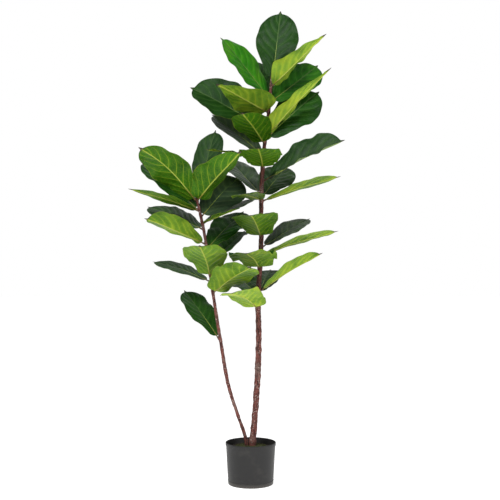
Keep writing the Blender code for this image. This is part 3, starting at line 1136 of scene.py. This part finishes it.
@dataclass
class Ground:
    """The soil and its moss cover, in the pot's mouth."""

    pot: Pot
    stems: dict[str, Stem]
    edge_height: float = 0.125
    mound: float = 0.004
    moss_radius: float = 0.055
    moss_thickness: float = 0.005
    crumbs: int = 900
    tufts: int = 2600
    steps: int = 120

    def top(self, radius: float) -> float:
        """The soil's height at a distance from the middle."""
        return self.edge_height + self.mound * (1 - (radius / self.pot.base_radius) ** 2)

    def soil(self) -> bpy.types.Object:
        """Builds the soil: an uneven top on a plain body, with crumbs lying on it."""
        edge = self.pot.wall_radius(self.edge_height) - self.pot.wall - 0.0006
        radii = [edge * share for share in np.linspace(0.0, 1.0, 46)]
        rings = turn([(max(radius, 0.0002), self.top(radius)) for radius in radii], self.steps)
        for ring in rings[:-1]:
            for point in ring:
                rough = noise.noise(Vector(point) * 120) * 0.0013 + noise.noise(Vector(point) * 380) * 0.0007
                point[2] += rough
        foot_height = self.pot.floor + 0.0004
        foot = self.pot.wall_radius(foot_height) - self.pot.wall - 0.0006
        skin = Skin()
        body = np.concatenate([rings, turn([(foot, foot_height), (0.0002, foot_height)], self.steps)])
        skin.add_tube(body[::-1])
        draw = np.random.default_rng(11)
        for _ in range(self.crumbs):
            radius, angle = edge * draw.uniform(0.02, 0.98) ** 0.5, draw.uniform(0, tau)
            size = draw.uniform(0.0007, 0.0022)
            spot = Vector((radius * cos(angle), radius * sin(angle), self.top(radius) + size * 0.2))
            self.add_crumb(skin, draw, spot, size)
        mesh = skin.mesh("potting_mix", 50.0)
        mesh.materials.append(SoilFinish().material())
        return place_piece("potting_mix", mesh, "soil")

    @staticmethod
    def add_crumb(skin: Skin, draw: np.random.Generator, spot: Vector, size: float) -> None:
        """Adds one crumb of soil, an uneven little lump.

        Args:
            skin: The mesh that takes it.
            draw: The random numbers' source.
            spot: Its middle.
            size: Its radius.
        """
        turned = Euler(draw.uniform(0, tau, 3)).to_matrix()
        heights = np.array([-0.85, -0.3, 0.35, 0.85])
        rings = []
        for height in heights:
            reach = (1.05 - height**2) ** 0.5
            ring = []
            for side in range(6):
                angle = side * tau / 6
                uneven = draw.uniform(0.75, 1.2)
                local = Vector((cos(angle) * reach * uneven * 1.25, sin(angle) * reach * uneven * 0.85, height * 0.8))
                ring.append(spot + turned @ (local * size))
            rings.append(ring)
        skin.add_tube(np.array(rings))

    def moss(self) -> bpy.types.Object:
        """Builds the moss: a low bumpy cover with many small pointed tufts."""
        shares = np.linspace(0.0, 1.0, 34)
        profile = []
        for share in shares:
            radius = max(self.moss_radius * share, 0.0002)
            profile.append((radius, self.top(radius) + 0.0005 + 0.0035 * (1 - share**6)))
        rings = turn(profile, self.steps)
        for ring in rings:
            for point in ring:
                out = Vector((point[0], point[1], 0.0))
                share = out.length / self.moss_radius
                ragged = 1.0 + 0.12 * share**3 * noise.noise(out.normalized() * 2.4) if out.length > 0 else 1.0
                point[:2] *= min(ragged, 1.0)
                lumps = noise.noise(Vector(point) * 90) * 0.0012 + noise.noise(Vector(point) * 260) * 0.0009
                point[2] += lumps * (1 - share**8)
        under = turn([(self.moss_radius * 0.96, self.top(self.moss_radius)), (0.0002, self.top(0.0))], self.steps)
        skin = Skin()
        skin.add_tube(np.concatenate([rings, under])[::-1])
        draw = np.random.default_rng(23)
        for _ in range(self.tufts):
            radius, angle = self.moss_radius * draw.uniform(0.0, 0.96) ** 0.5, draw.uniform(0, tau)
            foot = Vector((radius * cos(angle), radius * sin(angle), self.top(radius) + 0.0030))
            lean = Vector((draw.normal(0, 0.5), draw.normal(0, 0.5), 1.0)).normalized()
            self.add_tuft(skin, foot, lean * draw.uniform(0.0018, 0.0040), draw.uniform(0.0003, 0.0006))
        mesh = skin.mesh("moss_cover", 60.0)
        mesh.materials.append(MossFinish().material())
        return place_piece("moss_cover", mesh, "moss")

    @staticmethod
    def add_tuft(skin: Skin, foot: Vector, reach: Vector, radius: float) -> None:
        """Adds one tuft, a thin three-sided spike.

        Args:
            skin: The mesh that takes it.
            foot: Where it stands.
            reach: From its foot to its tip.
            radius: Its radius at the foot.
        """
        side = reach.orthogonal().normalized() * radius
        corners = [Matrix.Rotation(step * tau / 3, 3, reach) @ side for step in range(3)]
        low = [foot + corner for corner in corners]
        high = [foot + reach + corner * 0.15 for corner in corners]
        skin.add_tube(np.array([low, high]))

    def build(self) -> list[bpy.types.Object]:
        """Builds the soil and the moss."""
        return [self.soil(), self.moss()]


# ---------------------------------------------------------------------------------------------------------
# Studio
# ---------------------------------------------------------------------------------------------------------


@dataclass
class Studio:
    """A pale floor, soft lights and the camera."""

    focal: float = 70.34
    eye: tuple[float, float, float] = (-0.0024, -3.4, 0.8126)
    floor_radius: float = 14.0
    room_light: float = 0.34

    def floor(self) -> None:
        """Lays the floor."""
        skin = Skin()
        skin.add_sheet(turn([(0.01, 0.0), (self.floor_radius, 0.0)], 64), wrap=True)
        skin.add_faces([list(range(63, -1, -1))], 0)
        mesh = skin.mesh("studio_floor")
        mesh.flip_normals()
        mesh.materials.append(FloorFinish().material())
        piece = bpy.data.objects.new("studio_floor", mesh)
        bpy.context.scene.collection.objects.link(piece)

    def lamp(self, name: str, place: Vector, target: Vector, size: float, power: float) -> None:
        """Adds a large soft light.

        Args:
            name: Its name.
            place: Where it hangs.
            target: What it points at.
            size: The side of its square, in metres.
            power: Its power in watts.
        """
        data = bpy.data.lights.new(name, "AREA")
        data.size = size
        data.energy = power
        lamp = bpy.data.objects.new(name, data)
        lamp.location = place
        lamp.rotation_euler = (target - place).to_track_quat("-Z", "Y").to_euler()
        bpy.context.scene.collection.objects.link(lamp)

    def world(self) -> None:
        """Sets the plain white surroundings."""
        world = bpy.data.worlds.new("white_room")
        bpy.context.scene.world = world
        world.use_nodes = True
        back = world.node_tree.nodes["Background"]
        back.inputs["Color"].default_value = (1.0, 1.0, 1.0, 1.0)
        nodes, links = world.node_tree.nodes, world.node_tree.links
        rays = nodes.new("ShaderNodeLightPath")
        strength = nodes.new("ShaderNodeMapRange")
        strength.inputs["To Min"].default_value = self.room_light
        strength.inputs["To Max"].default_value = 1.0
        links.new(rays.outputs["Is Camera Ray"], strength.inputs["Value"])
        links.new(strength.outputs[0], back.inputs["Strength"])

    def camera(self) -> None:
        """Sets the level camera."""
        data = bpy.data.cameras.new("view")
        data.lens = self.focal
        data.sensor_width = 36.0
        view = bpy.data.objects.new("view", data)
        view.location = self.eye
        view.rotation_euler = (pi / 2, 0.0, 0.0)
        bpy.context.scene.collection.objects.link(view)
        bpy.context.scene.camera = view

    def build(self) -> None:
        """Builds the studio."""
        self.camera()
        self.floor()
        self.world()
        middle = Vector((0.0, 0.0, 0.85))
        self.lamp("key", Vector((-1.3, -2.4, 3.3)), middle, 1.2, 85.0)
        self.lamp("fill", Vector((2.4, -1.9, 1.5)), middle, 1.0, 22.0)
        self.lamp("back", Vector((0.6, 2.2, 2.8)), middle, 1.6, 9.0)
        bpy.context.scene.view_settings.view_transform = "Standard"


# ---------------------------------------------------------------------------------------------------------
# The plant
# ---------------------------------------------------------------------------------------------------------

MAIN_PATH = (
    (0.006, 0.000, 0.070, 0.0120),
    (0.005, 0.000, 0.128, 0.0128),
    (0.012, 0.000, 0.205, 0.0105),
    (0.024, 0.000, 0.370, 0.0105),
    (0.028, 0.000, 0.520, 0.0095),
    (0.026, 0.000, 0.640, 0.0090),
    (0.036, 0.000, 0.830, 0.0080),
    (0.037, 0.000, 0.990, 0.0075),
    (0.045, 0.000, 1.150, 0.0068),
    (0.061, 0.000, 1.280, 0.0060),
    (0.070, 0.000, 1.380, 0.0050),
    (0.073, 0.000, 1.430, 0.0020),
)
SIDE_PATH = (
    (-0.0140, 0.000, 0.070, 0.0065),
    (-0.0140, 0.000, 0.132, 0.0065),
    (-0.022, -0.005, 0.175, 0.0065),
    (-0.046, -0.015, 0.245, 0.0060),
    (-0.078, -0.025, 0.350, 0.0060),
    (-0.103, -0.035, 0.495, 0.0058),
    (-0.126, -0.042, 0.640, 0.0055),
    (-0.147, -0.046, 0.780, 0.0050),
    (-0.160, -0.048, 0.875, 0.0050),
    (-0.182, -0.049, 0.975, 0.0045),
    (-0.194, -0.050, 1.030, 0.0020),
)

# From the top of each stem down
LEAVES = (
    Leaf("main", 1.405, 56, 78, 0.025, 0.232, 0.150, 10, 24, 8, upper_tone_and_light=0.05, cup=-6, end=1.8),
    # This leaf's high upper brightness is painted light for its glossy, lit upper face.
    Leaf("main", 1.345, 192, 50, 0.020, 0.240, 0.130, 10, -50, 12, 0.45, upper_tone_and_light=0.8),
    Leaf("main", 1.352, 124, 54, 0.010, 0.160, 0.110, 15, 0, 10, upper_tone_and_light=0.05),
    Leaf("main", 1.385, 335, 39, 0.010, 0.245, 0.110, 8, -15, 30, 0.30, yellow=0.55, wave=0.12, foot=0.5, end=1.2, taper=0.95),
    Leaf("main", 1.330, 33, 36, 0.025, 0.225, 0.140, 10, 45, 8, upper_tone_and_light=0.4),
    Leaf("main", 1.292, 222, 17, 0.010, 0.232, 0.136, 12, 25, 12, 0.34, foot=0.95, end=1.2, taper=1.0, yellow=0.3),
    Leaf("main", 1.243, 175, 28, 0.020, 0.276, 0.172, 10, -58, 28, upper_tone_and_light=0.05, cup=0),
    Leaf("main", 1.215, 337, 43, 0.025, 0.290, 0.092, 8, -13, 30, 0.25, yellow=0.5, wave=0.12, foot=0.6, end=1.2, taper=0.9),
    Leaf("main", 1.205, 20, 41, 0.015, 0.245, 0.155, 15, 50, 5, upper_tone_and_light=0.1),
    Leaf("main", 1.185, 246, 24, 0.015, 0.185, 0.132, 10, 10, 15, yellow=0.02, foot=0.5),
    Leaf("main", 1.145, 150, 37, 0.025, 0.230, 0.115, 10, -28, 22, grey=0.7, wave=0.03),
    Leaf("main", 1.125, 214, 6, 0.025, 0.205, 0.070, 10, -5, 10, yellow=0.2),
    Leaf("main", 1.100, 265, 13, 0.015, 0.190, 0.145, 15, 0, 8, yellow=0.05, foot=0.5),
    Leaf("main", 1.055, 352, 26, 0.035, 0.275, 0.150, 10, 35, 35, upper_tone_and_light=0.1, grey=0.2),
    Leaf("main", 1.010, 130, 36, 0.030, 0.205, 0.145, 10, 0, 10, grey=0.5, wave=0.04),
    Leaf("main", 1.000, 60, 34, 0.030, 0.180, 0.130, 10, 20, 10, grey=0.4, wave=0.04),
    Leaf("main", 0.985, 353, 17, 0.020, 0.258, 0.105, 10, -11, 12, yellow=0.3, wave=0.03),
    Leaf("main", 0.985, 247, 3, 0.020, 0.165, 0.110, 20, 5, 5, yellow=0.2),
    Leaf("main", 0.862, 260, 17, 0.010, 0.210, 0.155, 20, 3, 18, yellow=0.12, foot=0.55),
    Leaf("main", 0.825, 35, 26, 0.025, 0.205, 0.110, 10, 12, 15, upper_tone_and_light=0.25, grey=0.8, wave=0.03),
    Leaf("main", 0.797, 346, 17, 0.020, 0.255, 0.105, 10, -10, 12, yellow=0.28, wave=0.03),
    Leaf("main", 0.752, 256, 15, 0.015, 0.180, 0.165, 15, 3, 15, 0.55, yellow=0.25, foot=0.6, wave=0.1),
    Leaf("main", 0.675, 350, 31, 0.020, 0.228, 0.085, 10, -20, 28, yellow=0.35, wave=0.05),
    Leaf("main", 0.665, 75, 25, 0.020, 0.160, 0.115, 10, 0, 10, grey=0.2),
    Leaf("main", 0.660, 114, 16, 0.020, 0.195, 0.135, 10, -10, 10, grey=0.2),
    Leaf("main", 0.612, 240, 18, 0.015, 0.172, 0.140, 35, 10, 15, yellow=0.5, foot=0.65),
    Leaf("side", 0.990, 58, 66, 0.020, 0.250, 0.112, 10, 4, 10, 0.66, upper_tone_and_light=0.1, grey=0.2),
    Leaf("side", 0.985, 205, 40, 0.015, 0.255, 0.148, 38, 33, 8, 0.52, yellow=0.02, foot=0.5),
    Leaf("side", 0.952, 154, 37, 0.020, 0.265, 0.125, 15, -20, 10, upper_tone_and_light=0.1),
    Leaf("side", 0.985, 314, 35, 0.010, 0.252, 0.145, 5, -18, 42, 0.36, yellow=0.02, foot=0.5, end=1.6, taper=0.7),
    Leaf("side", 0.930, 48, 38, 0.020, 0.215, 0.150, 10, 35, 5, grey=0.6, wave=0.04),
    Leaf("side", 0.948, 190, 17, 0.015, 0.232, 0.100, 10, 12, 8, 0.42, yellow=0.08, wave=0.03, foot=0.6, taper=0.8, end=1.5),
    Leaf("side", 0.905, 37, 22, 0.020, 0.225, 0.110, 10, 0, 10, grey=0.5, wave=0.03),
    Leaf("side", 0.906, 322, 16, 0.008, 0.158, 0.085, 10, 12, 10, 0.50, yellow=0.15),
    Leaf("side", 0.885, 153, 20, 0.020, 0.215, 0.140, 10, -15, 10, grey=0.3, wave=0.03),
    Leaf("side", 0.820, 51, 34, 0.020, 0.215, 0.140, 10, 10, 10),
    Leaf("side", 0.835, 205, 21, 0.020, 0.210, 0.105, 10, 32, 34, yellow=0.25),
    Leaf("side", 0.765, 50, 32, 0.020, 0.200, 0.115, 10, 0, 20),
    Leaf("side", 0.727, 263, 26, 0.010, 0.220, 0.150, 15, 0, 18, yellow=0.22, foot=0.5),
    Leaf("side", 0.705, 153, 16, 0.030, 0.210, 0.095, 15, -12, 10, upper_tone_and_light=0.1, grey=0.3, wave=0.03),
    Leaf("side", 0.668, 305, 22, 0.020, 0.220, 0.145, 15, -17, 18, yellow=0.22, foot=0.55),
    Leaf("side", 0.507, 137, 43, 0.030, 0.208, 0.115, 10, -10, 12, upper_tone_and_light=0.1),
)

UPPER_FACE = BladeFinish(
    name="leaf_upper",
    face=Face.UPPER,
    deep=(0.0070, 0.035, 0.0040),
    bright=(0.022, 0.190, 0.0040),
    vein=(0.085, 0.150, 0.045),
    # The grey of the painted sheen.
    painted_sheen_grey=(0.046, 0.062, 0.047),
    vein_strength=0.42,
    midrib_strength=0.55,
    net_strength=0.05,
    # Strength of the painted highlight bands.
    painted_highlight_strength=0.50,
    roughness=0.38,
    gloss=0.13,
    tip_start=0.955,
    coat=0.0,
    relief=-0.55,
    warm=(0.060, 0.200, 0.006),
    warmth=0.6,
)
UNDER_FACE = BladeFinish(
    name="leaf_under",
    face=Face.UNDER,
    deep=(0.022, 0.118, 0.0015),
    bright=(0.265, 0.460, 0.040),
    vein=(0.40, 0.47, 0.030),
    # The grey of the painted sheen.
    painted_sheen_grey=(0.040, 0.062, 0.034),
    vein_strength=0.65,
    midrib_strength=0.9,
    net_strength=0.12,
    # Strength of the painted highlight bands.
    painted_highlight_strength=0.45,
    roughness=0.46,
    gloss=0.16,
    tip_start=0.920,
    coat=0.0,
    relief=0.6,
    warm=(0.37, 0.48, 0.035),
    warmth=0.9,
)


def main() -> None:
    """Builds the studio and the plant, and reports each piece."""
    logging.basicConfig(level=logging.INFO, format="%(message)s")
    Studio().build()
    stems = {"main": Stem("main_stem", MAIN_PATH), "side": Stem("side_stem", SIDE_PATH)}
    for leaf in LEAVES:
        stems[leaf.stem].joints.append(leaf.height)
    for stem in stems.values():
        stem.add_scars()
    pot = Pot()
    pieces = [stem.build() for stem in stems.values()]
    pieces.append(pot.build())
    pieces += Ground(pot, stems).build()
    pieces += Foliage(LEAVES, stems, UPPER_FACE, UNDER_FACE).build()
    for piece in pieces:
        logging.info("%s: %d faces", piece.name, len(piece.data.polygons))


if __name__ == "__main__":
    main()
